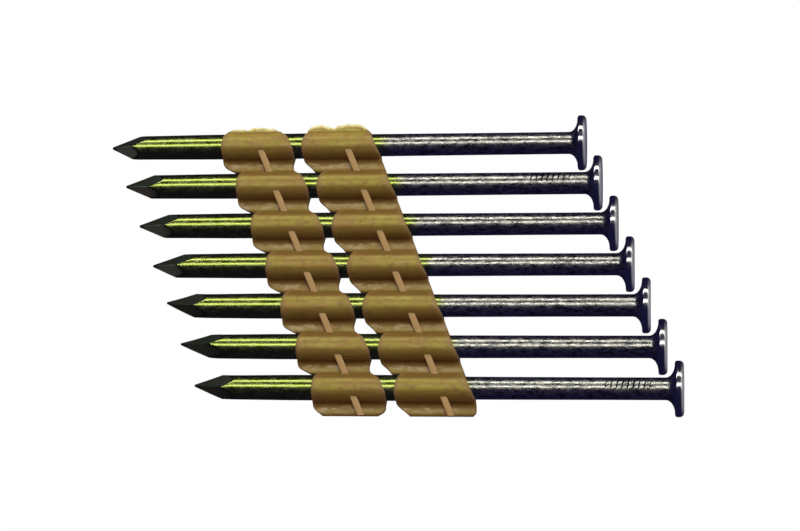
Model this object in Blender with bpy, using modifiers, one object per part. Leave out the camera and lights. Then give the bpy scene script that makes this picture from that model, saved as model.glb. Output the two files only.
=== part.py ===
"""Strip of seven plastic-collated framing nails, 21 degree, full round head.

The strip lies flat: nails along X with their heads at +X, the leading nail at +Y, Z up.
The origin is under the middle of the strip, at the height of the lowest head rims.
Each nail is one solid. The two collation bands are divided into one sleeve per nail, along the
middle of the thin webs between the sleeves, because that is where the plastic bends and snaps.
"""

import math

import bmesh
import bpy
from mathutils import Matrix

MM = 0.001

# Strip
NAIL_COUNT = 7
PITCH = 5.107 * MM          # between neighbouring nail axes, along Y
NAIL_STEP = 1.96 * MM       # each nail sits this much further towards +X than the one before
BAND_STEP = 2.04 * MM       # the same for the sleeves of a band, which lean a touch more
WEB_GAP = 0.30 * MM         # slit between neighbouring sleeves in the middle of their web

# Nail, measured from its tip
NAIL_LENGTH = 60.3 * MM
SHANK_RADIUS = 1.435 * MM
HEAD_RADIUS = 3.42 * MM
RIM_THICKNESS = 0.85 * MM
RIM_EDGE = 0.22 * MM
FLARE_RADIUS = 2.95 * MM
FLARE_LENGTH = 0.90 * MM
FLARE_STEPS = 4
POINT_HALF_ANGLE = math.radians(21.0)
POINT_BLUNTING = 0.30 * MM
ROUND_SIDES = 24
SIDE_ANGLE = 2.0 * math.pi / ROUND_SIDES
NAIL_ROLLS = (1, 4, 2, 0, 5, 3, 1)      # turn of each nail's point, in whole sides

# Bands
SLEEVE_RADIUS = 1.85 * MM
BORE_RADIUS = SHANK_RADIUS + 0.09 * MM
WEB_THICKNESS = 0.80 * MM
RIB_WIDTH = 0.85 * MM
RIB_HEIGHT = 1.50 * MM      # above the middle plane, and as much below it
TRAILING_CUT = 3.50 * MM    # from the last nail's axis to the cut ends of the bands

# Plan outlines of one sleeve with half a web on each side, in millimetres: x from the nail's tip,
# y from its axis. Each runs down the point side and up the head side, between the middles of
# the two webs. "last" ends at the trailing cut, and "first" begins with a torn web.
POINT_SIDE = {
    "top": [(13.07, 2.09), (14.10, 1.80), (14.70, 1.60)],
    "bottom": [(14.70, -1.60), (14.52, -2.20)],
    "cut": [(14.60, -2.55), (15.05, -3.05), (15.65, -3.40)],
    "head_cut": [(22.80, -3.50), (23.50, -3.30), (23.90, -2.90)],
    "head_bottom": [(24.08, -2.20), (24.05, -0.70)],
    "head_top": [(23.10, 0.90), (22.60, 1.40), (21.86, 1.90)],
    "torn": [(22.30, 1.80), (21.36, 2.07), (20.18, 2.50), (18.40, 2.70), (17.50, 2.62),
             (17.10, 2.30), (16.10, 2.25), (15.00, 1.95)],
    "web_left": 14.60,
    "web_right": 24.02,
    "rib": 20.20,
}
HEAD_SIDE = {
    "top": [(24.36, 1.82), (25.10, 1.30)],
    "bottom": [(24.93, 0.20), (24.93, -1.70), (25.12, -2.20)],
    "cut": [(25.85, -2.80)],
    "head_cut": [(34.60, -3.50), (34.90, -3.30), (35.00, -2.80)],
    "head_bottom": [(34.80, -1.00)],
    "head_top": [],
    "torn": [(32.90, 1.85), (32.40, 2.50), (31.90, 2.80), (29.60, 2.78), (28.90, 2.50),
             (28.40, 2.20), (27.90, 2.42), (26.30, 2.75), (25.10, 2.40), (24.90, 1.70)],
    "web_left": 25.97,
    "web_right": 35.42,
    "rib": 31.30,
}

# Places worked out from the dimensions above
LEAN = math.atan2(BAND_STEP, PITCH)
STRIP_LENGTH = NAIL_LENGTH + (NAIL_COUNT - 1) * NAIL_STEP
AXIS_Z = HEAD_RADIUS
CENTRE_Y = (TRAILING_CUT - HEAD_RADIUS) / 2.0
MIDDLE_NAIL = (NAIL_COUNT + 1) // 2
WEB_EDGE_Y = (PITCH - WEB_GAP) / 2.0

STEEL = ((0.33, 0.34, 0.33), 0.30, 1.0)
PLASTIC = ((0.36, 0.25, 0.09), 0.42, 0.0)


def nail_tip_x(number):
    return -STRIP_LENGTH / 2.0 + (number - 1) * NAIL_STEP


def cell_x(number):
    """The x that the outlines of sleeve number are measured from."""
    return nail_tip_x(1) + (number - 1) * BAND_STEP


def axis_y(number):
    return CENTRE_Y + (MIDDLE_NAIL - number) * PITCH


def clear_scene():
    for old in list(bpy.data.objects):
        bpy.data.objects.remove(old, do_unlink=True)


def new_collection(name):
    collection = bpy.data.collections.new(name)
    bpy.context.scene.collection.children.link(collection)
    return collection


def new_material(name, finish):
    colour, roughness, metallic = finish
    material = bpy.data.materials.new(name)
    material.use_nodes = True
    shader = material.node_tree.nodes["Principled BSDF"]
    shader.inputs["Base Color"].default_value = (*colour, 1.0)
    shader.inputs["Roughness"].default_value = roughness
    shader.inputs["Metallic"].default_value = metallic
    return material


def boolean(obj, cutter, operation):
    cutter.hide_render = True
    cutter.display_type = "WIRE"
    modifier = obj.modifiers.new(cutter.name, "BOOLEAN")
    modifier.operation = operation
    modifier.solver = "EXACT"
    modifier.object = cutter


def finished_mesh(obj, helpers, name):
    """The mesh that obj's modifiers make, in world space. The object and its helpers are removed."""
    evaluated = obj.evaluated_get(bpy.context.evaluated_depsgraph_get())
    mesh = bpy.data.meshes.new_from_object(evaluated)
    mesh.transform(evaluated.matrix_world)
    mesh.name = name
    for used in (obj, *helpers):
        bpy.data.objects.remove(used, do_unlink=True)
    return mesh


def box(name, size, location, turn_z=0.0):
    bpy.ops.mesh.primitive_cube_add(size=1.0, location=location, rotation=(0.0, 0.0, turn_z))
    obj = bpy.context.object
    obj.name = name
    obj.scale = size
    return obj


def rod(name, radius, x_from, x_to):
    """A round bar along X on the nail's axis."""
    bpy.ops.mesh.primitive_cylinder_add(
        vertices=ROUND_SIDES,
        radius=radius,
        depth=x_to - x_from,
        location=((x_from + x_to) / 2.0, 0.0, 0.0),
        rotation=(0.0, math.pi / 2.0, 0.0),
    )
    obj = bpy.context.object
    obj.name = name
    return obj


def nail_profile():
    """Half section of the nail, tip at z = 0, from the middle of the head's top down to the tip."""
    rim_under = NAIL_LENGTH - RIM_THICKNESS
    points = [
        (0.0, NAIL_LENGTH),
        (HEAD_RADIUS - RIM_EDGE, NAIL_LENGTH),
        (HEAD_RADIUS, NAIL_LENGTH - RIM_EDGE),
        (HEAD_RADIUS, rim_under + RIM_EDGE),
        (HEAD_RADIUS - RIM_EDGE, rim_under),
    ]
    for step in range(FLARE_STEPS + 1):
        angle = (math.pi / 2.0) * (1.0 - step / FLARE_STEPS)
        spread = (FLARE_RADIUS - SHANK_RADIUS) * (1.0 - math.cos(angle))
        drop = FLARE_LENGTH * (1.0 - math.sin(angle))
        points.append((SHANK_RADIUS + spread, rim_under - drop))
    points += [(SHANK_RADIUS, 0.0), (0.0, 0.0)]
    return points


def make_nail_mesh():
    """A turned nail, its point cut to four flats, with its axis along +X and its tip at the origin."""
    mesh = bpy.data.meshes.new("nail_profile")
    shape = bmesh.new()
    verts = [shape.verts.new((radius, 0.0, z)) for radius, z in nail_profile()]
    for upper, lower in zip(verts, verts[1:]):
        shape.edges.new((upper, lower))
    shape.to_mesh(mesh)
    shape.free()
    nail = bpy.data.objects.new("nail_turned", mesh)
    bpy.context.scene.collection.objects.link(nail)

    screw = nail.modifiers.new("turn", "SCREW")
    screw.steps = ROUND_SIDES
    screw.render_steps = ROUND_SIDES
    screw.use_merge_vertices = True
    screw.merge_threshold = 0.000001

    depth = NAIL_LENGTH * 1.2
    bpy.ops.mesh.primitive_cone_add(
        vertices=4,
        radius1=depth * math.tan(POINT_HALF_ANGLE) / math.cos(math.pi / 4.0),
        radius2=0.0,
        depth=depth,
        location=(0.0, 0.0, depth / 2.0 - POINT_BLUNTING),
        rotation=(math.pi, 0.0, 0.0),
    )
    pyramid = bpy.context.object
    boolean(nail, pyramid, "INTERSECT")

    result = finished_mesh(nail, [pyramid], "nail")
    result.transform(Matrix.Rotation(math.pi / 2.0, 4, "Y"))
    return result


def cell_outline(band, place):
    """Plan outline of one sleeve with its half webs, in metres, for the first, middle or last one."""
    lean = BAND_STEP / MM
    edge = WEB_EDGE_Y / MM
    if place == "first":
        upper_right = band["head_top"][:1] + band["torn"]
        upper_left = band["top"][-1:]
    else:
        upper_right = band["head_top"] + [(band["web_right"] - lean, edge)]
        upper_left = [(band["web_left"] - lean, edge)] + band["top"]
    if place == "last":
        lower = band["cut"] + [(band["cut"][-1][0] + 0.15, -TRAILING_CUT / MM)] + band["head_cut"]
    else:
        lower = [(band["web_left"], -edge), (band["web_right"], -edge)]
    points = upper_left + band["bottom"] + lower + band["head_bottom"] + upper_right
    return [(x * MM, y * MM) for x, y in points]


def outline_prism(points, half_height):
    """The outline as a closed prism, wide enough in Z to hold the sleeve."""
    curve = bpy.data.curves.new("outline", "CURVE")
    curve.dimensions = "2D"
    curve.fill_mode = "BOTH"
    curve.extrude = half_height
    spline = curve.splines.new("POLY")
    spline.points.add(len(points) - 1)
    for point, (x, y) in zip(spline.points, points):
        point.co = (x, y, 0.0, 1.0)
    spline.use_cyclic_u = True
    flat = bpy.data.objects.new("outline_curve", curve)
    bpy.context.scene.collection.objects.link(flat)
    mesh = finished_mesh(flat, [], "outline")
    shape = bmesh.new()
    shape.from_mesh(mesh)
    bmesh.ops.remove_doubles(shape, verts=shape.verts, dist=0.000001)
    bmesh.ops.recalc_face_normals(shape, faces=shape.faces)
    shape.to_mesh(mesh)
    shape.free()
    prism = bpy.data.objects.new("outline", mesh)
    bpy.context.scene.collection.objects.link(prism)
    return prism


def make_sleeve_mesh(band, place, name):
    """One sleeve with half of each neighbouring web and rib, bored through for its nail."""
    left = min(x for x, y in cell_outline(band, place)) - MM
    right = max(x for x, y in cell_outline(band, place)) + MM
    sleeve = rod("sleeve", SLEEVE_RADIUS, left, right)
    web = box("web", (right - left, 2.0 * PITCH, WEB_THICKNESS), ((left + right) / 2.0, 0.0, 0.0))
    helpers = [web]
    rib_places = [(band["rib"] * MM, -PITCH / 2.0)]
    if place != "first":
        rib_places.append((band["rib"] * MM - BAND_STEP, PITCH / 2.0))
    for x, y in rib_places:
        size = (RIB_WIDTH, PITCH / math.cos(LEAN), 2.0 * RIB_HEIGHT)
        helpers.append(box("rib", size, (x, y, 0.0), turn_z=LEAN))
    for helper in helpers:
        boolean(sleeve, helper, "UNION")
    outline = outline_prism(cell_outline(band, place), 2.0 * SLEEVE_RADIUS)
    boolean(sleeve, outline, "INTERSECT")
    bore = rod("bore", BORE_RADIUS, left - MM, right + MM)
    boolean(sleeve, bore, "DIFFERENCE")
    mesh = finished_mesh(sleeve, helpers + [outline, bore], name)
    return mesh


def place_of(number):
    return {1: "first", NAIL_COUNT: "last"}.get(number, "middle")


def hinge_y(number):
    """Y of the web line that segment number turns on: the one towards the middle segment."""
    if number == MIDDLE_NAIL:
        return axis_y(number)
    towards_middle = 0.5 if number < MIDDLE_NAIL else -0.5
    return axis_y(number) - towards_middle * PITCH


def make_segments(collection):
    """An empty for each segment, on its web hinge, in a chain out from the middle segment."""
    empties = {}
    outward = sorted(range(1, NAIL_COUNT + 1), key=lambda number: abs(number - MIDDLE_NAIL))
    for number in outward:
        empty = bpy.data.objects.new(f"segment_{number}", None)
        empty.empty_display_size = PITCH
        empty.location = (0.0, hinge_y(number), AXIS_Z)
        if number != MIDDLE_NAIL:
            inner = number + (1 if number < MIDDLE_NAIL else -1)
            empty.parent = empties[inner]
            empty.location = (0.0, hinge_y(number) - hinge_y(inner), 0.0)
        collection.objects.link(empty)
        empties[number] = empty
    return empties


def add_part(name, mesh, finish, segment, location, collection, roll=0.0):
    """One node: a copy of mesh, hung on its segment's empty, which is at (0, hinge y, axis z)."""
    own_mesh = mesh.copy()
    own_mesh.name = name
    own_mesh.materials.clear()
    own_mesh.materials.append(new_material(name, finish))
    own_mesh.shade_smooth()
    own_mesh.set_sharp_from_angle(angle=math.radians(30.0))
    obj = bpy.data.objects.new(name, own_mesh)
    obj.parent = segment
    obj.location = location
    obj.rotation_euler = (roll, 0.0, 0.0)
    collection.objects.link(obj)


def main():
    clear_scene()
    strip = new_collection("collated_nail_strip")
    segments = make_segments(strip)
    nail_mesh = make_nail_mesh()
    bands = {"point_sleeve": POINT_SIDE, "head_sleeve": HEAD_SIDE}
    sleeve_meshes = {
        (name, place): make_sleeve_mesh(band, place, f"{name}_{place}")
        for name, band in bands.items()
        for place in ("first", "middle", "last")
    }
    for number in range(1, NAIL_COUNT + 1):
        segment = segments[number]
        y = axis_y(number) - hinge_y(number)
        roll = NAIL_ROLLS[number - 1] * SIDE_ANGLE
        tip = (nail_tip_x(number), y, 0.0)
        add_part(f"nail_{number}", nail_mesh, STEEL, segment, tip, strip, roll)
        for name in bands:
            mesh = sleeve_meshes[name, place_of(number)]
            add_part(f"{name}_{number}", mesh, PLASTIC, segment, (cell_x(number), y, 0.0), strip)


main()
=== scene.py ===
"""Looks of a strip of plastic-collated framing nails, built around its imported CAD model."""

import math

import bmesh
import bpy
import numpy as np
from mathutils import Matrix, Vector, noise


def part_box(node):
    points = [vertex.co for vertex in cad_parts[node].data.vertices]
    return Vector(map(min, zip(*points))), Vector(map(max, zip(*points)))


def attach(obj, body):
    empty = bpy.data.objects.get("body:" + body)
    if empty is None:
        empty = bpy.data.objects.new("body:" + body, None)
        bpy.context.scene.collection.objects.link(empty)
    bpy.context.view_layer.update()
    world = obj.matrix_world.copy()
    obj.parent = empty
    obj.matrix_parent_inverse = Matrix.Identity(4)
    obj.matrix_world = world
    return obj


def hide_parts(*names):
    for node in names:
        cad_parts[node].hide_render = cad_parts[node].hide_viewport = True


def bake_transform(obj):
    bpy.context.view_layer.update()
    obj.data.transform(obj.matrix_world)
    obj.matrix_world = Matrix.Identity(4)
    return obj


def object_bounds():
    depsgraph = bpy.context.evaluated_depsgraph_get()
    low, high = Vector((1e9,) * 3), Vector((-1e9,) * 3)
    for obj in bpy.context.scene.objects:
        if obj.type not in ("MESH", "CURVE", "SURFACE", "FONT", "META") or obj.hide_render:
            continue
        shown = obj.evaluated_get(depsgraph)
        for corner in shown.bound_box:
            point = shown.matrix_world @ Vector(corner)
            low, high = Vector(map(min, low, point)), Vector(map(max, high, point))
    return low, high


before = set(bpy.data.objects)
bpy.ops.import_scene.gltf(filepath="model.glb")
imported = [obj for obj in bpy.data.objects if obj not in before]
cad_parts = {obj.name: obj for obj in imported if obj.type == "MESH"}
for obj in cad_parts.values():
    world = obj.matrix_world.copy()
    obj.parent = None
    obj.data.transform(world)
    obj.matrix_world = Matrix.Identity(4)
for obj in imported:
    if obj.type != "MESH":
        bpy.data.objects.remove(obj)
cad_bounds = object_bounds()

MM = 0.001
NAILS = range(1, 8)
LEAD, TRAIL = NAILS[0], NAILS[-1]


# ---------------------------------------------------------------- places, from the CAD frame

def tip_x(number):
    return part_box(f"nail_{number}")[0].x


def axis_y(number):
    low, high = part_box(f"nail_{number}")
    return (low.y + high.y) / 2.0


NAIL_LOW, NAIL_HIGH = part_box("nail_1")
NAIL_LENGTH = NAIL_HIGH.x - NAIL_LOW.x
HEAD_RADIUS = (NAIL_HIGH.z - NAIL_LOW.z) / 2.0
AXIS_Z = (NAIL_HIGH.z + NAIL_LOW.z) / 2.0
PITCH = (axis_y(LEAD) - axis_y(TRAIL)) / (TRAIL - LEAD)
SLEEVE_RADIUS = (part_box("point_sleeve_2")[1].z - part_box("point_sleeve_2")[0].z) / 2.0
TRAILING_CUT = axis_y(TRAIL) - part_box("point_sleeve_7")[0].y
BAND_STEP = (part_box("point_sleeve_6")[0].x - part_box("point_sleeve_2")[0].x) / 4.0
LEAN = BAND_STEP / PITCH


def cell_x(number):
    """The x that the outlines of sleeve number are measured from."""
    return tip_x(LEAD) + (number - LEAD) * BAND_STEP


# ---------------------------------------------------------------- meshes

def new_object(name, verts, faces, material, smooth_degrees, **values):
    """A mesh object. Each of values is an attribute that the material reads, a number a vertex."""
    mesh = bpy.data.meshes.new(name)
    mesh.from_pydata([tuple(v) for v in verts], [], faces)
    for attribute_name, numbers in values.items():
        attribute = mesh.attributes.new(attribute_name, "FLOAT", "POINT")
        attribute.data.foreach_set("value", np.array(numbers, np.float32))
    mesh.materials.append(material)
    mesh.shade_smooth()
    mesh.set_sharp_from_angle(angle=math.radians(smooth_degrees))
    obj = bpy.data.objects.new(name, mesh)
    bpy.context.scene.collection.objects.link(obj)
    return obj


# ---------------------------------------------------------------- nails

SIDES = 64
SHANK = [(0.0, 1.47), (6.0, 1.51), (12.0, 1.57), (25.5, 1.60), (32.5, 1.41), (50.0, 1.375)]   # x, radius
SHANK_RADIUS = 1.375 * MM       # where it meets the flare
RIM_THICKNESS = 1.08 * MM
RIM_EDGE = 0.30 * MM
CROWN_EDGE = 0.52 * MM
FLARE_RADIUS = 3.08 * MM
FLARE_LENGTH = 1.10 * MM
POINT_BLUNTING = 0.33 * MM
POINT_END = 6.0 * MM
POINT_BLEND = 0.16 * MM
GRIP_FROM = 50.5 * MM
GRIP_TO = 57.0 * MM
GRIP_PITCH = 0.67 * MM
GRIP_SLANT = -0.35
GRIP_SPREAD = math.radians(26.0)
GRIP_STEP = 0.067 * MM          # between the rings of vertices along the marks
DEEPEST_MARK = 0.09 * MM        # how far in the deepest marks are pressed

# Each point's turn and its tip's shift along Y, the slopes of the flats that face up and +Y, down and +Y,
# down and -Y, and up and -Y, in degrees, and how bright the -Y flats are painted: painted light and shade
# by which way the flats face, the +Y flats always darker. Points are pinched off, not ground, so no two are
# alike.
POINTS = [
    (4.0, 0.00, (16.3, 16.3, 20.5, 20.0), 1.0),
    (-8.0, 0.05, (15.5, 15.5, 17.2, 16.8), 1.0),
    (0.0, 0.03, (14.8, 14.8, 16.8, 16.5), 1.0),
    (3.0, 0.02, (14.6, 14.6, 18.5, 17.8), 0.9),
    (-4.0, 0.40, (14.9, 15.2, 15.8, 15.4), 0.74),
    (6.0, 0.30, (14.3, 14.3, 14.6, 14.4), 0.74),
    (-6.0, 0.20, (15.4, 15.4, 16.2, 15.6), 0.74),
]
# depth and facing of the marks that the heading grips left
GRIP_DEPTHS = [d * MM for d in (0.015, 0.070, 0.015, 0.030, 0.012, 0.018, 0.090)]
GRIP_FACINGS = [math.radians(a) for a in (30.0, 26.0, 40.0, 30.0, 20.0, 35.0, 16.0)]


def head_profile():
    """(x, radius) from the end of the shank to the middle of the head's top, x from the tip."""
    rim_under = NAIL_LENGTH - RIM_THICKNESS
    points = []
    for step in range(9):
        angle = math.radians(90.0 * step / 8)
        spread = (FLARE_RADIUS - SHANK_RADIUS) * (1.0 - math.cos(angle))
        points.append((rim_under - FLARE_LENGTH * (1.0 - math.sin(angle)), SHANK_RADIUS + spread))
    corners = ((rim_under + RIM_EDGE, RIM_EDGE, -90.0), (NAIL_LENGTH - CROWN_EDGE, CROWN_EDGE, 0.0))
    for middle, rounding, turn in corners:
        for step in range(7):
            angle = math.radians(turn + 90.0 * step / 6)
            points.append((middle + rounding * math.sin(angle),
                           HEAD_RADIUS - rounding + rounding * math.cos(angle)))
    points += [(NAIL_LENGTH, HEAD_RADIUS * share) for share in (0.80, 0.55, 0.25)]
    return points


def nail_stations():
    """(x, radius) down the nail, close together at the point, the grip marks and the head."""
    xs = list(np.arange(0.0, POINT_END, 0.10 * MM))
    xs += list(np.arange(POINT_END, GRIP_FROM, 1.0 * MM))
    xs += list(np.arange(GRIP_FROM, GRIP_TO, GRIP_STEP))
    shank_x, shank_radius = np.array(SHANK).T * MM
    return [(x, float(np.interp(x, shank_x, shank_radius))) for x in xs] + head_profile()


def grip_mark(x, angle, depth, facing):
    """How far the surface is pressed in at x and angle by the row of slanted grip marks."""
    if not GRIP_FROM < x < GRIP_TO:
        return 0.0
    away = (angle - facing + math.pi) % (2.0 * math.pi) - math.pi
    across = math.exp(-(away / GRIP_SPREAD) ** 2)
    phase = (x / GRIP_PITCH + GRIP_SLANT * away) * 2.0 * math.pi
    ridge = max(0.0, math.cos(phase)) ** 3
    ends = math.sin(math.pi * (x - GRIP_FROM) / (GRIP_TO - GRIP_FROM)) ** 0.5
    return depth * across * ridge * ends


def nearest_flat(x, angle, flats):
    """(distance from the axis, number) of the nearest of the point's flats, at x from the tip."""
    reach = []
    for number, slope in enumerate(flats):
        facing = math.cos(angle - (number + 0.5) * math.pi / 2.0)
        if facing > 0.1:
            reach.append(((x + POINT_BLUNTING) * math.tan(math.radians(slope)) / facing, number))
    return min(reach)


def make_nail(number, material):
    turn, shift, flats, brightness = POINTS[number - 1]
    depth, facing = GRIP_DEPTHS[number - 1], GRIP_FACINGS[number - 1]
    verts, cut, marked = [], [], []
    stations = nail_stations()
    for x, radius in stations:
        for side in range(SIDES):
            angle = 2.0 * math.pi * side / SIDES
            reach, flat = nearest_flat(x, angle - math.radians(turn), flats)
            pressed = grip_mark(x, angle, depth, facing)
            marked.append(pressed / DEEPEST_MARK)
            r = min(radius, reach) - pressed
            aside = shift * MM * max(0.0, 1.0 - x / POINT_END) ** 2
            verts.append((x, r * math.sin(angle) + aside, r * math.cos(angle)))
            # The cut flats' painted shade: 0.6 on the +Y flats, the listed brightness on the -Y ones.
            depth_cut = min(1.0, max(0.0, (radius - reach) / POINT_BLEND))
            cut.append(depth_cut * (0.6 if flat < 2 else brightness))
    tip, top = len(verts), len(verts) + 1
    verts += [(0.0, shift * MM, 0.0), (NAIL_LENGTH, 0.0, 0.0)]
    cut += [1.0, 0.0]
    marked += [0.0, 0.0]
    faces = []
    for ring in range(len(stations) - 1):
        for side in range(SIDES):
            a, b = ring * SIDES + side, ring * SIDES + (side + 1) % SIDES
            faces.append((a, a + SIDES, b + SIDES, b))
    last = (len(stations) - 1) * SIDES
    for side in range(SIDES):
        following = (side + 1) % SIDES
        faces.append((tip, side, following))
        faces.append((top, last + following, last + side))
    nail = new_object(f"drawn_nail_{number}", verts, faces, material, 24.0, cut=cut, marked=marked,
                      nail=[number] * len(verts))
    nail.visible_glossy = False
    nail.location = (tip_x(number), axis_y(number), AXIS_Z)
    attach(nail, f"nail_{number}_body")
    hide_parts(f"nail_{number}")
    return nail


# ---------------------------------------------------------------- bands

BORE_RADIUS = 1.62 * MM
ROOT_RADIUS = 1.68 * MM         # ribs and torn webs start here, inside the wall and clear of the bore
WEB_HALF = 0.40 * MM
CREASE_RADIUS = 0.35 * MM       # rounding in the corner between a sleeve and its web
# Rounding of the outer edge at a sleeve's ends. It is more than the wall's thickness, so the very ends
# dip into the bore and the nail.
SLEEVE_ROUNDING = 0.34 * MM
WEB_ROUNDING = 0.16 * MM
TUCK_Y = 1.62 * MM              # a web runs into the next sleeve's wall, to this far from its axis
TUCK_Z = 0.55 * MM
RIB_WIDTH = 0.85 * MM
RIB_HIGH = (-0.80 * MM, 1.66 * MM)      # a rib's top leaves the first sleeve at this y and z
RIB_DROP = 0.055 * MM                   # and each next sleeve this much lower down
RIB_LOW = (-3.45 * MM, 0.85 * MM)       # and meets the next one here
RIB_ROUNDING = 0.14 * MM
RIM_TINT = 0.95 * MM            # how far in from a sleeve's ends its colour is a little different
LIT_WEB_PAINT = (0.85, 0.40)         # how much painted highlight a web's lit band gets on the rib's point side and on its head side
LEAD_SHADE = 0.35               # what is left of the painted shade on the free +Y side of the first sleeve

CREASE_Y = math.sqrt((SLEEVE_RADIUS + CREASE_RADIUS) ** 2 - (WEB_HALF + CREASE_RADIUS) ** 2)
CREASE_TURN = math.atan2(WEB_HALF + CREASE_RADIUS, CREASE_Y)

# Ends of a sleeve and of the web below it, in millimetres: x from the nail's tip, y from its axis.
# "cut" replaces the web's part on the last sleeve, and "torn" is what is left of a broken web on
# the +Y side of the first one.
POINT_BAND = {
    "left": [(14.90, 1.85), (14.62, 1.20), (14.46, 0.20), (14.42, -1.00), (14.45, -1.90), (14.52, -2.20)],
    "left_web": [(14.60, -2.60), (15.11, -3.02), (16.14, -3.31), (16.74, -3.51)],
    "left_cut": [(14.60, -2.55), (15.05, -3.05), (15.65, -3.40), (15.80, -3.50)],
    "right": [(21.85, 1.85), (22.55, 1.35), (23.05, 0.60), (23.62, -0.70), (23.70, -1.80), (23.55, -2.20)],
    "right_web": [(23.45, -2.60), (23.55, -3.21), (24.45, -3.71)],
    "right_cut": [(23.60, -2.70), (23.20, -3.25), (22.40, -3.50)],
    "torn": [(15.05, 1.90), (15.40, 2.06), (16.30, 2.15), (17.20, 2.17), (17.50, 1.98), (17.85, 2.27),
             (18.40, 2.46), (18.85, 2.34), (21.00, 2.24), (21.30, 2.00), (21.85, 1.80)],
    "rib": 20.20,
}
HEAD_BAND = {
    "left": [(25.30, 1.85), (25.08, 1.35), (24.80, 0.50), (24.66, -0.40), (24.70, -1.40), (24.86, -2.00),
             (25.10, -2.35)],
    "left_web": [(25.45, -2.60), (26.22, -3.29), (26.95, -3.81)],
    "left_cut": [(25.72, -2.80), (26.60, -3.50)],
    "right": [(33.21, 1.85), (34.35, -1.00)],
    "right_web": [(35.35, -3.50)],
    "right_cut": [(34.72, -2.00), (34.75, -2.90), (34.65, -3.30), (34.20, -3.50)],
    "torn": [(25.30, 1.90), (25.60, 2.42), (26.20, 2.58), (27.10, 2.68), (28.20, 2.36), (28.57, 2.10),
             (28.90, 2.46), (29.70, 2.62), (30.80, 2.70), (32.00, 2.67), (32.45, 2.42), (33.00, 1.85)],
    "rib": 31.30,
}


def edge_at(points, y):
    """x of an edge at y, with its corners softened, all in metres."""
    xs, ys = np.array(points).T * MM
    around = y + np.linspace(-0.22, 0.22, 9) * MM
    return float(np.interp(-around, -ys, xs).mean())


def sleeve_stations():
    """(y, z, normal y, normal z) over the top of a sleeve from its +Y side to its web."""
    bore_side = math.acos(BORE_RADIUS / SLEEVE_RADIUS)
    turns = [bore_side * step / 5 for step in range(5)]
    turns += [math.acos(BORE_RADIUS * math.cos(math.pi * step / 24) / SLEEVE_RADIUS) for step in range(25)]
    web_side = math.pi - CREASE_TURN
    turns += [math.pi - bore_side + (web_side - math.pi + bore_side) * step / 3 for step in (1, 2, 3)]
    stations = [(SLEEVE_RADIUS * math.cos(t), SLEEVE_RADIUS * math.sin(t), math.cos(t), math.sin(t))
                for t in turns]
    for step in range(1, 6):
        turn = CREASE_TURN + (math.pi / 2.0 - CREASE_TURN) * step / 5
        stations.append((-CREASE_Y + CREASE_RADIUS * math.cos(turn),
                         WEB_HALF + CREASE_RADIUS * (1.0 - math.sin(turn)),
                         -math.cos(turn), math.sin(turn)))
    return stations


def link_stations():
    """The same, on over the web and into the next sleeve's wall."""
    near = sleeve_stations()
    creases = [station for station in near if station[0] < -SLEEVE_RADIUS * math.cos(CREASE_TURN) - 1e-9]
    far = [(-PITCH - y, z, -ny, nz) for y, z, ny, nz in reversed(creases)]
    start, end = near[-1][0], far[0][0]
    web = [(start + (end - start) * step / 5, WEB_HALF, 0.0, 1.0) for step in range(1, 5)]
    return near + web + far + [(-PITCH + TUCK_Y, TUCK_Z, 0.0, 1.0)]


def cut_stations():
    """The same, on over a web that is cut off square."""
    near = sleeve_stations()
    start, end, rounding = near[-1][0], -TRAILING_CUT, 0.10 * MM
    web = [(start + (end + rounding - start) * step / 5, WEB_HALF, 0.0, 1.0) for step in range(1, 6)]
    return near + web + [(end + 0.3 * rounding, WEB_HALF - 0.3 * rounding, 0.0, 1.0),
                         (end, WEB_HALF - rounding, 0.0, 1.0)]


END_STEPS = 4
BODY_STEPS = 18


def columns_at(left, right, rounding):
    """(x, inset) along a row from its left end to its right end, with both ends rounded."""
    turns = [math.pi / 2.0 * step / END_STEPS for step in range(END_STEPS + 1)]
    ends = [(rounding * (1.0 - math.cos(t)), rounding * (1.0 - math.sin(t))) for t in turns]
    row = [(left + along, inset) for along, inset in ends]
    inner = right - left - 2.0 * rounding
    row += [(left + rounding + inner * step / BODY_STEPS, 0.0) for step in range(1, BODY_STEPS)]
    row += [(right - along, inset) for along, inset in reversed(ends)]
    return row


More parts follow.
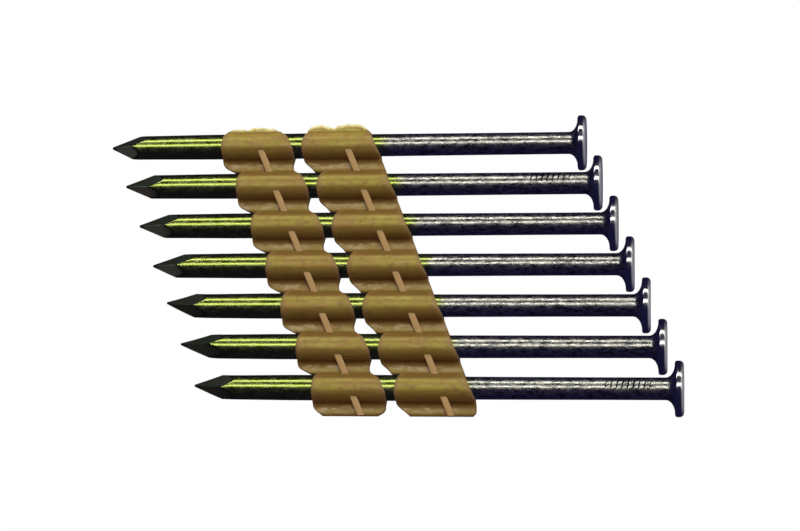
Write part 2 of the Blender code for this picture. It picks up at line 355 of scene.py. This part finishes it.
def moulding(stations, left_points, right_points):
    """Vertices and faces of a bored body whose upper side follows stations, mirrored below."""
    verts, top, bottom, inner_top, inner_bottom = [], [], [], [], []

    def add(x, y, z):
        verts.append((x, y, z))
        return len(verts) - 1

    bore_row = next(i for i, s in enumerate(stations) if s[0] <= BORE_RADIUS + 1e-9)
    for i, (y, z, normal_y, normal_z) in enumerate(stations):
        on_web = min(1.0, max(0.0, (-y - 1.5 * MM) / (0.5 * MM)))
        rounding = SLEEVE_ROUNDING + (WEB_ROUNDING - SLEEVE_ROUNDING) * on_web
        left, right = edge_at(left_points, y), edge_at(right_points, y)
        row = columns_at(left, right, rounding)
        upper = [add(x, y - normal_y * inset, z - normal_z * inset) for x, inset in row]
        top.append(upper)
        if i == 0:
            bottom.append(upper)
            inner_top.append((upper[0], upper[-1]))
            inner_bottom.append((upper[0], upper[-1]))
            continue
        bottom.append([add(x, y - normal_y * inset, -z + normal_z * inset) for x, inset in row])
        if i < bore_row:
            inner_y = BORE_RADIUS + (SLEEVE_RADIUS - SLEEVE_ROUNDING - BORE_RADIUS) * (1.0 - i / bore_row)
        else:
            inner_y = y
        inner_z = math.sqrt(max(0.0, BORE_RADIUS ** 2 - inner_y ** 2))
        pair = (add(left, inner_y, inner_z), add(right, inner_y, inner_z))
        inner_top.append(pair)
        if inner_z > 1e-7:
            pair = (add(left, inner_y, -inner_z), add(right, inner_y, -inner_z))
        inner_bottom.append(pair)

    faces = []
    last_column = len(top[0]) - 1
    for i in range(len(stations) - 1):
        for skin in (top, bottom):
            for j in range(last_column):
                faces.append((skin[i][j], skin[i + 1][j], skin[i + 1][j + 1], skin[i][j + 1]))
        for skin, inner in ((top, inner_top), (bottom, inner_bottom)):
            for end, column in ((0, 0), (1, last_column)):
                faces.append((skin[i][column], skin[i + 1][column], inner[i + 1][end], inner[i][end]))
            if inner_top[i] != inner_bottom[i] or inner_top[i + 1] != inner_bottom[i + 1]:
                faces.append((inner[i][0], inner[i + 1][0], inner[i + 1][1], inner[i][1]))
    for j in range(last_column):
        ring = [top[-1][j], top[-1][j + 1], bottom[-1][j + 1], bottom[-1][j]]
        if j == 0:
            ring.append(inner_top[-1][0])
        if j == last_column - 1:
            ring.insert(2, inner_top[-1][1])
        faces.append(tuple(ring))
    faces = [tuple(dict.fromkeys(face)) for face in faces]
    return verts, [face for face in faces if len(face) > 2]


def rib(band, upwards, number):
    """Vertices and faces of the slanted rib on one side of a web, its ends inside the sleeves' walls."""
    half = RIB_WIDTH / 2.0
    corner = [(RIB_ROUNDING * (1.0 - math.cos(t)), RIB_ROUNDING * (1.0 - math.sin(t)))
              for t in (0.0, 0.4, 0.8, 1.2, math.pi / 2.0)]
    section = [(-half, None)] + [(-half + a, b) for a, b in corner]
    section += [(half - a, b) for a, b in reversed(corner)] + [(half, None)]
    y_from = RIB_HIGH[0] - RIB_DROP * (number - LEAD)
    z_from = RIB_HIGH[1] - 0.7 * RIB_DROP * (number - LEAD)
    slope = (RIB_LOW[1] - z_from) / (RIB_LOW[0] - y_from)
    verts, faces = [], []
    steps = 12
    for step in range(steps + 1):
        y = y_from + (RIB_LOW[0] - y_from) * step / steps
        middle = band["rib"] * MM - LEAN * (y + PITCH / 2.0)
        top = z_from + (y - y_from) * slope
        root = max(0.1 * MM, math.sqrt(max(0.0, ROOT_RADIUS ** 2 - y ** 2)))
        for x, drop in section:
            z = root if drop is None else max(root, top - drop)
            verts.append((middle + x, y, upwards * z))
    count = len(section)
    for step in range(steps):
        for side in range(count):
            a, b = step * count + side, step * count + (side + 1) % count
            faces.append((a, b, b + count, a + count))
    faces.append(tuple(range(count)))
    faces.append(tuple(range(steps * count, (steps + 1) * count)))
    return verts, faces


def torn_web(band, seed):
    """Vertices, faces and paleness of the ragged rest of a broken web on a sleeve's +Y side."""
    xs, ys = np.array(band["torn"]).T * MM
    columns, steps = 90, 8
    verts, faces, pale = [], [], []
    for column in range(columns + 1):
        x = xs[0] + (xs[-1] - xs[0]) * column / columns
        taper = min(1.0, column / 4.0, (columns - column) / 4.0)
        ragged = noise.noise(Vector((x / (0.35 * MM), seed, 0.0))) * 0.07 * MM
        ragged += noise.noise(Vector((x / (1.1 * MM), seed, 4.0))) * 0.10 * MM
        edge = float(np.interp(x, xs, ys)) + ragged * taper
        start = ROOT_RADIUS
        edge = max(edge, start + 0.10 * MM)
        whole = min(1.0, max(0.25, (edge - 2.00 * MM) / (0.25 * MM)))
        ring = []
        for step in range(steps + 1):
            share = step / steps
            y = start + (edge - start) * share
            if y < SLEEVE_RADIUS * math.cos(CREASE_TURN):
                z = TUCK_Z
            elif y < CREASE_Y:
                z = WEB_HALF + CREASE_RADIUS - math.sqrt(CREASE_RADIUS ** 2 - (CREASE_Y - y) ** 2)
            else:
                z = WEB_HALF
            thin = 1.0 - 0.45 * max(0.0, share - 0.7) / 0.3
            rough = noise.noise(Vector((x / (0.30 * MM), y / (0.30 * MM), seed))) * 0.05 * MM * share
            ring.append((y, z * thin + rough))
        for y, z in ring:
            verts.append((x, y, z))
            pale.append(whole * max(0.0, 1.0 - (edge - y) / (0.62 * MM)))
        for y, z in reversed(ring):
            verts.append((x, y, -0.8 * z))
            pale.append(whole * max(0.0, 1.0 - (edge - y) / (0.62 * MM)))
    count = 2 * (steps + 1)
    for column in range(columns):
        for side in range(count):
            a, b = column * count + side, column * count + (side + 1) % count
            faces.append((a, b, b + count, a + count))
    faces.append(tuple(range(count)))
    faces.append(tuple(range(columns * count, (columns + 1) * count)))
    return verts, faces, pale


# Painted shade: how much darker the plastic's colour is made across a sleeve, by y in millimetres from its
# axis: the next sleeve's wall, the web, the crease, the side in shade, the crest, the upper side and the
# crease above it.
SHADED = [(-3.50, 1.20), (-3.05, 0.45), (-2.75, 0.45), (-2.10, 1.35), (-1.60, 0.55), (-0.60, 0.62),
          (-0.15, 0.00), (0.40, 0.40), (0.70, 0.10), (1.30, 1.15)]


def flank_share(y):
    """How much painted shade darkens the plastic at y from a sleeve's axis: 0 on a crest, 1 or more in a
    crease.
    """
    ys, shares = zip(*SHADED)
    return float(np.interp(y / MM, ys, shares))


def stress_share(x, y, rib_x):
    """How much painted highlight a web's lit band gets, more on the rib's point side."""
    on_web = float(np.interp(y / MM, (-3.25, -3.0, -2.5, -2.2), (0.0, 1.0, 1.0, 0.0)))
    return on_web * LIT_WEB_PAINT[0 if x < rib_x else 1]


def rim_share(x, y, left, right):
    """1 at a sleeve's ends, falling to 0 inwards and on the webs."""
    away = min(x - edge_at(left, y), edge_at(right, y) - x)
    on_sleeve = float(np.interp(-y / MM, (1.9, 2.3), (1.0, 0.0)))
    return on_sleeve * max(0.0, 1.0 - away / RIM_TINT)


def make_link(name, band, number, material):
    """Sleeve number of a band with the web and the ribs below it."""
    last = number == TRAIL
    part = "cut" if last else "web"
    left, right = (band[side] + band[f"{side}_{part}"] for side in ("left", "right"))
    verts, faces = moulding(cut_stations() if last else link_stations(), left, right)
    rim = [rim_share(x, y, left, right) for x, y, z in verts]
    # painted highlight on the webs' lit band
    stress = [stress_share(x, y, band["rib"] * MM) for x, y, z in verts]
    # painted shade: the colour is darkened by y across the sleeve and its web
    shade = [flank_share(y) for x, y, z in verts]
    if number == LEAD:
        shade = [share * float(np.interp(y / MM, (0.7, 1.1), (1.0, LEAD_SHADE)))
                 for share, (x, y, z) in zip(shade, verts)]
    islands = [(verts, faces, [0.0] * len(verts), shade)]
    for upwards in (1.0, -1.0):
        verts, faces = rib(band, upwards, number)
        # Painted light: the ribs get -1 and are painted lighter than the tan, as lit thin plastic.
        islands.append((verts, faces, [0.0] * len(verts), [-1.0] * len(verts)))
    if number == LEAD:
        verts, faces, pale = torn_web(band, band["rib"])
        islands.append((verts, faces, pale, [0.0] * len(verts)))

    verts, faces, pale, flank = [], [], [], []
    place = Vector((cell_x(number), axis_y(number), AXIS_Z))
    for island_verts, island_faces, island_pale, island_flank in islands:
        first = len(verts)
        faces += [tuple(first + index for index in face) for face in island_faces]
        verts += [Vector(vert) + place for vert in island_verts]
        pale += island_pale
        flank += island_flank
    rim += [0.0] * (len(verts) - len(rim))
    stress += [0.0] * (len(verts) - len(stress))
    link = new_object(f"moulded_{name}_{number}", verts, faces, material, 40.0,
                      pale=pale, flank=flank, rim=rim, stress=stress)
    link.visible_glossy = False
    turn_outwards(link.data)
    if last:
        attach(link, f"segment_{number}")
    else:
        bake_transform(link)
    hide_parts(f"{name}_{number}")
    return link


def turn_outwards(mesh):
    shape = bmesh.new()
    shape.from_mesh(mesh)
    bmesh.ops.recalc_face_normals(shape, faces=shape.faces)
    shape.to_mesh(mesh)
    shape.free()


# ---------------------------------------------------------------- materials

class Nodes:
    """Short ways to add and join shader nodes in one material."""

    def __init__(self, name):
        self.material = bpy.data.materials.new(name)
        self.material.use_nodes = True
        self.tree = self.material.node_tree
        self.shader = self.tree.nodes["Principled BSDF"]
        self.place = self.tree.nodes.new("ShaderNodeTexCoord").outputs["Object"]

    def add(self, kind, inputs=(), **settings):
        node = self.tree.nodes.new(kind)
        for setting, value in settings.items():
            setattr(node, setting, value)
        for socket, value in dict(inputs).items():
            self.set(node.inputs[socket], value)
        return node

    def set(self, socket, value):
        if isinstance(value, bpy.types.NodeSocket):
            self.tree.links.new(value, socket)
        else:
            socket.default_value = value

    def noise(self, stretch, detail=3.0, roughness=0.55, seed=0.0):
        """Noise whose patches measure stretch millimetres along x, y and z, about 0 to 1."""
        scale = tuple(1.0 / (size * MM) for size in stretch)
        mapping = self.add("ShaderNodeMapping", {"Vector": self.place, "Scale": scale,
                                                 "Location": (seed, seed, seed)})
        return self.add("ShaderNodeTexNoise", {"Vector": mapping.outputs["Vector"], "Scale": 1.0,
                                               "Detail": detail, "Roughness": roughness}).outputs["Fac"]

    def ramp(self, value, low, high, to_low=0.0, to_high=1.0):
        return self.add("ShaderNodeMapRange", {"Value": value, "From Min": low, "From Max": high,
                                               "To Min": to_low, "To Max": to_high},
                        interpolation_type="SMOOTHSTEP").outputs["Result"]

    def maths(self, operation, first, second, third=None):
        node = self.add("ShaderNodeMath", {0: first, 1: second}, operation=operation)
        if third is not None:
            self.set(node.inputs[2], third)
        return node.outputs[0]

    def mix(self, share, first, second):
        node = self.add("ShaderNodeMix", data_type="RGBA")
        for socket, value in zip((node.inputs[0], node.inputs[6], node.inputs[7]), (share, first, second)):
            self.set(socket, (*value, 1.0) if isinstance(value, tuple) else value)
        return node.outputs[2]

    def bump(self, height, strength, distance, under=None):
        node = self.add("ShaderNodeBump", {"Height": height, "Strength": strength, "Distance": distance})
        if under is not None:
            self.set(node.inputs["Normal"], under)
        return node.outputs["Normal"]

    def finish(self, **sockets):
        for socket, value in sockets.items():
            self.set(self.shader.inputs[socket.replace("_", " ")], value)
        return self.material


COATED_LENGTH = 35.6 * MM
COAT_WANDER = 1.6 * MM          # how far the coating's end line wanders
COAT_SHORTENING = 1.1 * MM      # how much shorter the coating is on the trailing nail
NOISE_SHIFT = 0.02              # metres along Y between one nail's patches and the next nail's


def steel_material():
    """Bright-drawn wire, its point end dipped in a yellow-green coating. Painted shade darkens the point's
    +Y flats and the grip marks.
    """
    n = Nodes("coated_bright_steel")
    number = n.add("ShaderNodeAttribute", attribute_name="nail").outputs["Fac"]
    aside = n.add("ShaderNodeCombineXYZ", {"Y": n.maths("MULTIPLY", number, NOISE_SHIFT)}).outputs["Vector"]
    n.place = n.add("ShaderNodeVectorMath", {0: n.place, 1: aside}).outputs["Vector"]
    along = n.add("ShaderNodeSeparateXYZ", {"Vector": n.place}).outputs["X"]
    blotch = n.noise((1.1, 0.5, 0.5), seed=3.0)
    streak = n.noise((3.2, 0.15, 0.15), seed=11.0)
    speckle = n.noise((0.30, 0.22, 0.22), seed=23.0)
    fleck = n.noise((0.65, 0.20, 0.20), seed=31.0)
    shortened = n.maths("ADD", along, n.ramp(number, 3.0, 7.0, 0.0, COAT_SHORTENING))
    edge = n.maths("MULTIPLY_ADD", blotch, COAT_WANDER, shortened)
    coated = n.ramp(edge, COATED_LENGTH + 1.5 * MM, COATED_LENGTH - 0.6 * MM)
    silver = n.mix(n.ramp(blotch, 0.36, 0.60), (0.25, 0.24, 0.21), (0.62, 0.60, 0.50))
    yellow = n.mix(n.ramp(blotch, 0.3, 0.7), (0.45, 0.54, 0.08), (0.66, 0.75, 0.20))
    silver = n.mix(n.ramp(fleck, 0.50, 0.62), silver, (1.0, 0.97, 0.80))
    head = n.ramp(along, NAIL_LENGTH - 1.35 * MM, NAIL_LENGTH - 0.95 * MM)
    silver = n.mix(head, silver, (0.85, 0.85, 0.78))
    marked = n.add("ShaderNodeAttribute", attribute_name="marked").outputs["Fac"]
    # Painted shade in the grip marks: the deeper a mark is pressed, the darker its colour.
    silver = n.mix(n.ramp(marked, 0.03, 0.40), silver, (0.012, 0.012, 0.016))
    colour = n.mix(coated, silver, yellow)
    cut = n.add("ShaderNodeAttribute", attribute_name="cut").outputs["Fac"]
    # Painted shade on the cut flats: the +Y flats are painted darker than the -Y ones. The flats darken
    # further from the tip and are near black at the very tip.
    sheared_and_shaded = n.mix(n.ramp(cut, 0.62, 0.95), (0.013, 0.018, 0.009), (0.086, 0.112, 0.100))
    sheared_and_shaded = n.mix(n.ramp(along, 2.6 * MM, 5.2 * MM), sheared_and_shaded, (0.020, 0.026, 0.018))
    sheared_and_shaded = n.mix(n.ramp(along, 0.2 * MM, 0.9 * MM), (0.012, 0.012, 0.012), sheared_and_shaded)
    colour = n.mix(n.ramp(cut, 0.0, 0.10), colour, sheared_and_shaded)
    rough = n.ramp(blotch, 0.2, 0.8, 0.20, 0.31)
    rough = n.maths("ADD", rough, n.ramp(coated, 0.0, 1.0, 0.03, 0.0))
    rough = n.maths("SUBTRACT", rough, n.ramp(head, 0.0, 1.0, 0.0, 0.12))
    rough = n.maths("MAXIMUM", rough, n.ramp(cut, 0.0, 0.5, 0.0, 0.45))
    crown = n.ramp(along, NAIL_LENGTH - CROWN_EDGE, NAIL_LENGTH - 0.6 * CROWN_EDGE, 0.0, 0.36)
    rough = n.maths("MAXIMUM", rough, crown)
    wavy = n.bump(streak, n.ramp(coated, 0.0, 1.0, 0.18, 0.17), 0.008 * MM)
    pitted = n.bump(speckle, n.ramp(coated, 0.0, 1.0, 0.20, 0.05), 0.012 * MM, wavy)
    bare = n.ramp(cut, 0.10, 0.30, 1.0, 0.0)
    return n.finish(Base_Color=colour, Metallic=bare, Roughness=rough, Normal=pitted)


def plastic_material():
    """Translucent tan polypropylene, moulded a little unevenly, paler where it was torn. Painted shade
    darkens its shaded sides and creases, and painted light brightens its ribs and the webs' lit band.
    """
    n = Nodes("tan_band_plastic")
    cloud = n.noise((3.2, 2.0, 2.0), seed=5.0)
    mottle = n.noise((0.9, 0.6, 0.6), seed=17.0)
    grain = n.noise((0.25, 0.12, 0.12), seed=29.0)
    pale = n.add("ShaderNodeAttribute", attribute_name="pale").outputs["Fac"]
    flank = n.add("ShaderNodeAttribute", attribute_name="flank").outputs["Fac"]
    flow = n.noise((4.5, 0.5, 0.5), seed=41.0)
    tan = n.mix(n.ramp(cloud, 0.38, 0.62), (0.370, 0.260, 0.060), (0.360, 0.310, 0.042))
    tan = n.mix(n.ramp(flow, 0.45, 0.75), tan, (0.45, 0.385, 0.085))
    tan = n.mix(n.ramp(mottle, 0.45, 0.80), tan, (0.26, 0.165, 0.050))
    rim = n.add("ShaderNodeAttribute", attribute_name="rim").outputs["Fac"]
    tan = n.mix(n.ramp(rim, 0.0, 1.0, 0.0, 0.65), tan, (0.30, 0.195, 0.090))
    # Painted shade: the shaded sides and creases are painted darker, a little less near a sleeve's ends,
    # and darkest deep in the creases.
    shaded = n.mix(n.ramp(rim, 0.0, 1.0), (0.180, 0.108, 0.024), (0.24, 0.145, 0.050))
    tan = n.mix(n.ramp(flank, 0.0, 1.0), tan, shaded)
    tan = n.mix(n.ramp(flank, 1.0, 2.0), tan, (0.085, 0.040, 0.004))
    # painted light on the ribs, where the painted shading is below 0
    tan = n.mix(n.ramp(flank, 0.0, -0.9), tan, (0.56, 0.39, 0.17))
    stress = n.add("ShaderNodeAttribute", attribute_name="stress").outputs["Fac"]
    # Painted highlight: paler patches on the webs' lit band.
    patches = n.noise((1.2, 0.50, 0.50), seed=53.0)
    highlight_patches = n.maths("MULTIPLY", stress, n.ramp(patches, 0.42, 0.66))
    tan = n.mix(highlight_patches, tan, (0.44, 0.345, 0.175))
    torn = n.mix(n.ramp(mottle, 0.30, 0.50), (0.44, 0.40, 0.14), (0.82, 0.82, 0.42))
    colour = n.mix(n.ramp(pale, 0.15, 0.85), tan, torn)
    rough = n.ramp(mottle, 0.25, 0.75, 0.30, 0.44)
    rough = n.maths("MAXIMUM", rough, n.ramp(flank, 0.5, 1.2, 0.0, 0.65))
    gloss = n.ramp(flank, 0.5, 1.2, 0.45, 0.10)
    soft = n.bump(mottle, 0.25, 0.05 * MM)
    fine = n.bump(grain, 0.25, 0.02 * MM, soft)
    return n.finish(Base_Color=colour, Roughness=rough, Normal=fine, IOR=1.49, Specular_IOR_Level=gloss,
                    Subsurface_Weight=0.25, Subsurface_Radius=(1.0, 0.65, 0.25), Subsurface_Scale=0.5 * MM)


# ---------------------------------------------------------------- studio

def area_light(name, towards, distance, size, power):
    """A long soft light that faces the strip from the direction towards."""
    data = bpy.data.lights.new(name, "AREA")
    data.shape = "RECTANGLE"
    data.size, data.size_y = size
    data.energy = power
    light = bpy.data.objects.new(name, data)
    bpy.context.scene.collection.objects.link(light)
    direction = Vector(towards).normalized()
    side = Vector((1.0, 0.0, 0.0))
    side = (side - direction * side.dot(direction)).normalized()
    turn = Matrix((side, direction.cross(side), direction)).transposed()
    light.matrix_world = Matrix.Translation(direction * distance) @ turn.to_4x4()
    return light


def make_floor():
    size = 4.0
    mesh = bpy.data.meshes.new("floor")
    corners = [(-size, -size, 0.0), (size, -size, 0.0), (size, size, 0.0), (-size, size, 0.0)]
    mesh.from_pydata(corners, [], [(0, 1, 2, 3)])
    floor = bpy.data.objects.new("floor", mesh)
    bpy.context.scene.collection.objects.link(floor)
    material = bpy.data.materials.new("white_table")
    material.use_nodes = True
    tree = material.node_tree
    tree.nodes.remove(tree.nodes["Principled BSDF"])
    glow = tree.nodes.new("ShaderNodeEmission")
    glow.inputs["Color"].default_value = (1.0, 1.0, 1.0, 1.0)
    glow.inputs["Strength"].default_value = 1.0
    tree.links.new(glow.outputs["Emission"], tree.nodes["Material Output"].inputs["Surface"])
    mesh.materials.append(material)
    floor.location.z = -0.05 * MM
    floor.visible_glossy = False
    floor.visible_diffuse = False
    floor.visible_transmission = False


def make_world():
    """White where the camera sees it and dim for matt surfaces. Reflections see it nearly black, with a
    grey side beyond the heads."""
    world = bpy.data.worlds.new("studio")
    world.use_nodes = True
    tree = world.node_tree
    rays = tree.nodes.new("ShaderNodeLightPath")
    place = tree.nodes.new("ShaderNodeTexCoord")
    split = tree.nodes.new("ShaderNodeSeparateXYZ")
    side = tree.nodes.new("ShaderNodeMapRange")
    side.interpolation_type = "SMOOTHSTEP"
    side.inputs["From Min"].default_value = 0.42
    side.inputs["From Max"].default_value = 0.74
    tree.links.new(place.outputs["Generated"], split.inputs["Vector"])
    tree.links.new(split.outputs["X"], side.inputs["Value"])

    def mix(share, first, second):
        node = tree.nodes.new("ShaderNodeMix")
        node.data_type = "RGBA"
        tree.links.new(share, node.inputs[0])
        for socket, value in ((node.inputs[6], first), (node.inputs[7], second)):
            if isinstance(value, tuple):
                socket.default_value = (*value, 1.0)
            else:
                tree.links.new(value, socket)
        return node.outputs[2]

    mirrored = mix(side.outputs["Result"], (0.008, 0.007, 0.034), (0.25, 0.245, 0.30))
    unseen = mix(rays.outputs["Is Diffuse Ray"], mirrored, (0.30, 0.20, 0.165))
    colour = mix(rays.outputs["Is Camera Ray"], unseen, (1.0, 1.0, 1.0))
    tree.links.new(colour, tree.nodes["Background"].inputs["Color"])
    bpy.context.scene.world = world


CAMERA_DISTANCE = 248.41 * MM


def make_camera():
    """Nearly overhead, tipped a little towards the cut end and the heads."""
    centre = (cad_bounds[0] + cad_bounds[1]) / 2.0
    target = Vector((centre.x + 1.214 * MM, centre.y - 0.004 * MM, AXIS_Z))
    tip = Matrix.Rotation(math.radians(10.0), 3, "X") @ Matrix.Rotation(math.radians(7.138), 3, "Y")
    turn = tip @ Matrix.Rotation(math.radians(-0.247), 3, "Z")
    data = bpy.data.cameras.new("camera")
    data.lens = 90.0
    data.sensor_width = 36.0
    data.clip_start = 10.0 * MM
    camera = bpy.data.objects.new("camera", data)
    bpy.context.scene.collection.objects.link(camera)
    place = target + turn @ Vector((0.0, 0.0, CAMERA_DISTANCE))
    camera.matrix_world = Matrix.Translation(place) @ turn.to_4x4()
    bpy.context.scene.camera = camera


def above(degrees, x=0.0):
    """A direction that many degrees from straight up, towards +Y."""
    turn = math.radians(degrees)
    return (x, math.sin(turn), math.cos(turn))


bpy.context.scene.view_settings.view_transform = "Standard"
make_camera()
make_world()
make_floor()
overhead = area_light("overhead_strip", above(9.6), 0.50, (1.2, 0.090), 0.95)
low = area_light("low_strip", above(55.4), 0.50, (1.2, 0.090), 1.05)
key = area_light("soft_key", above(43.0), 0.50, (0.25, 0.20), 2.2)
overhead.visible_diffuse = False
low.visible_diffuse = False
key.visible_glossy = False

steel, plastic = steel_material(), plastic_material()
for nail_number in NAILS:
    make_nail(nail_number, steel)
    make_link("point_sleeve", POINT_BAND, nail_number, plastic)
    make_link("head_sleeve", HEAD_BAND, nail_number, plastic)
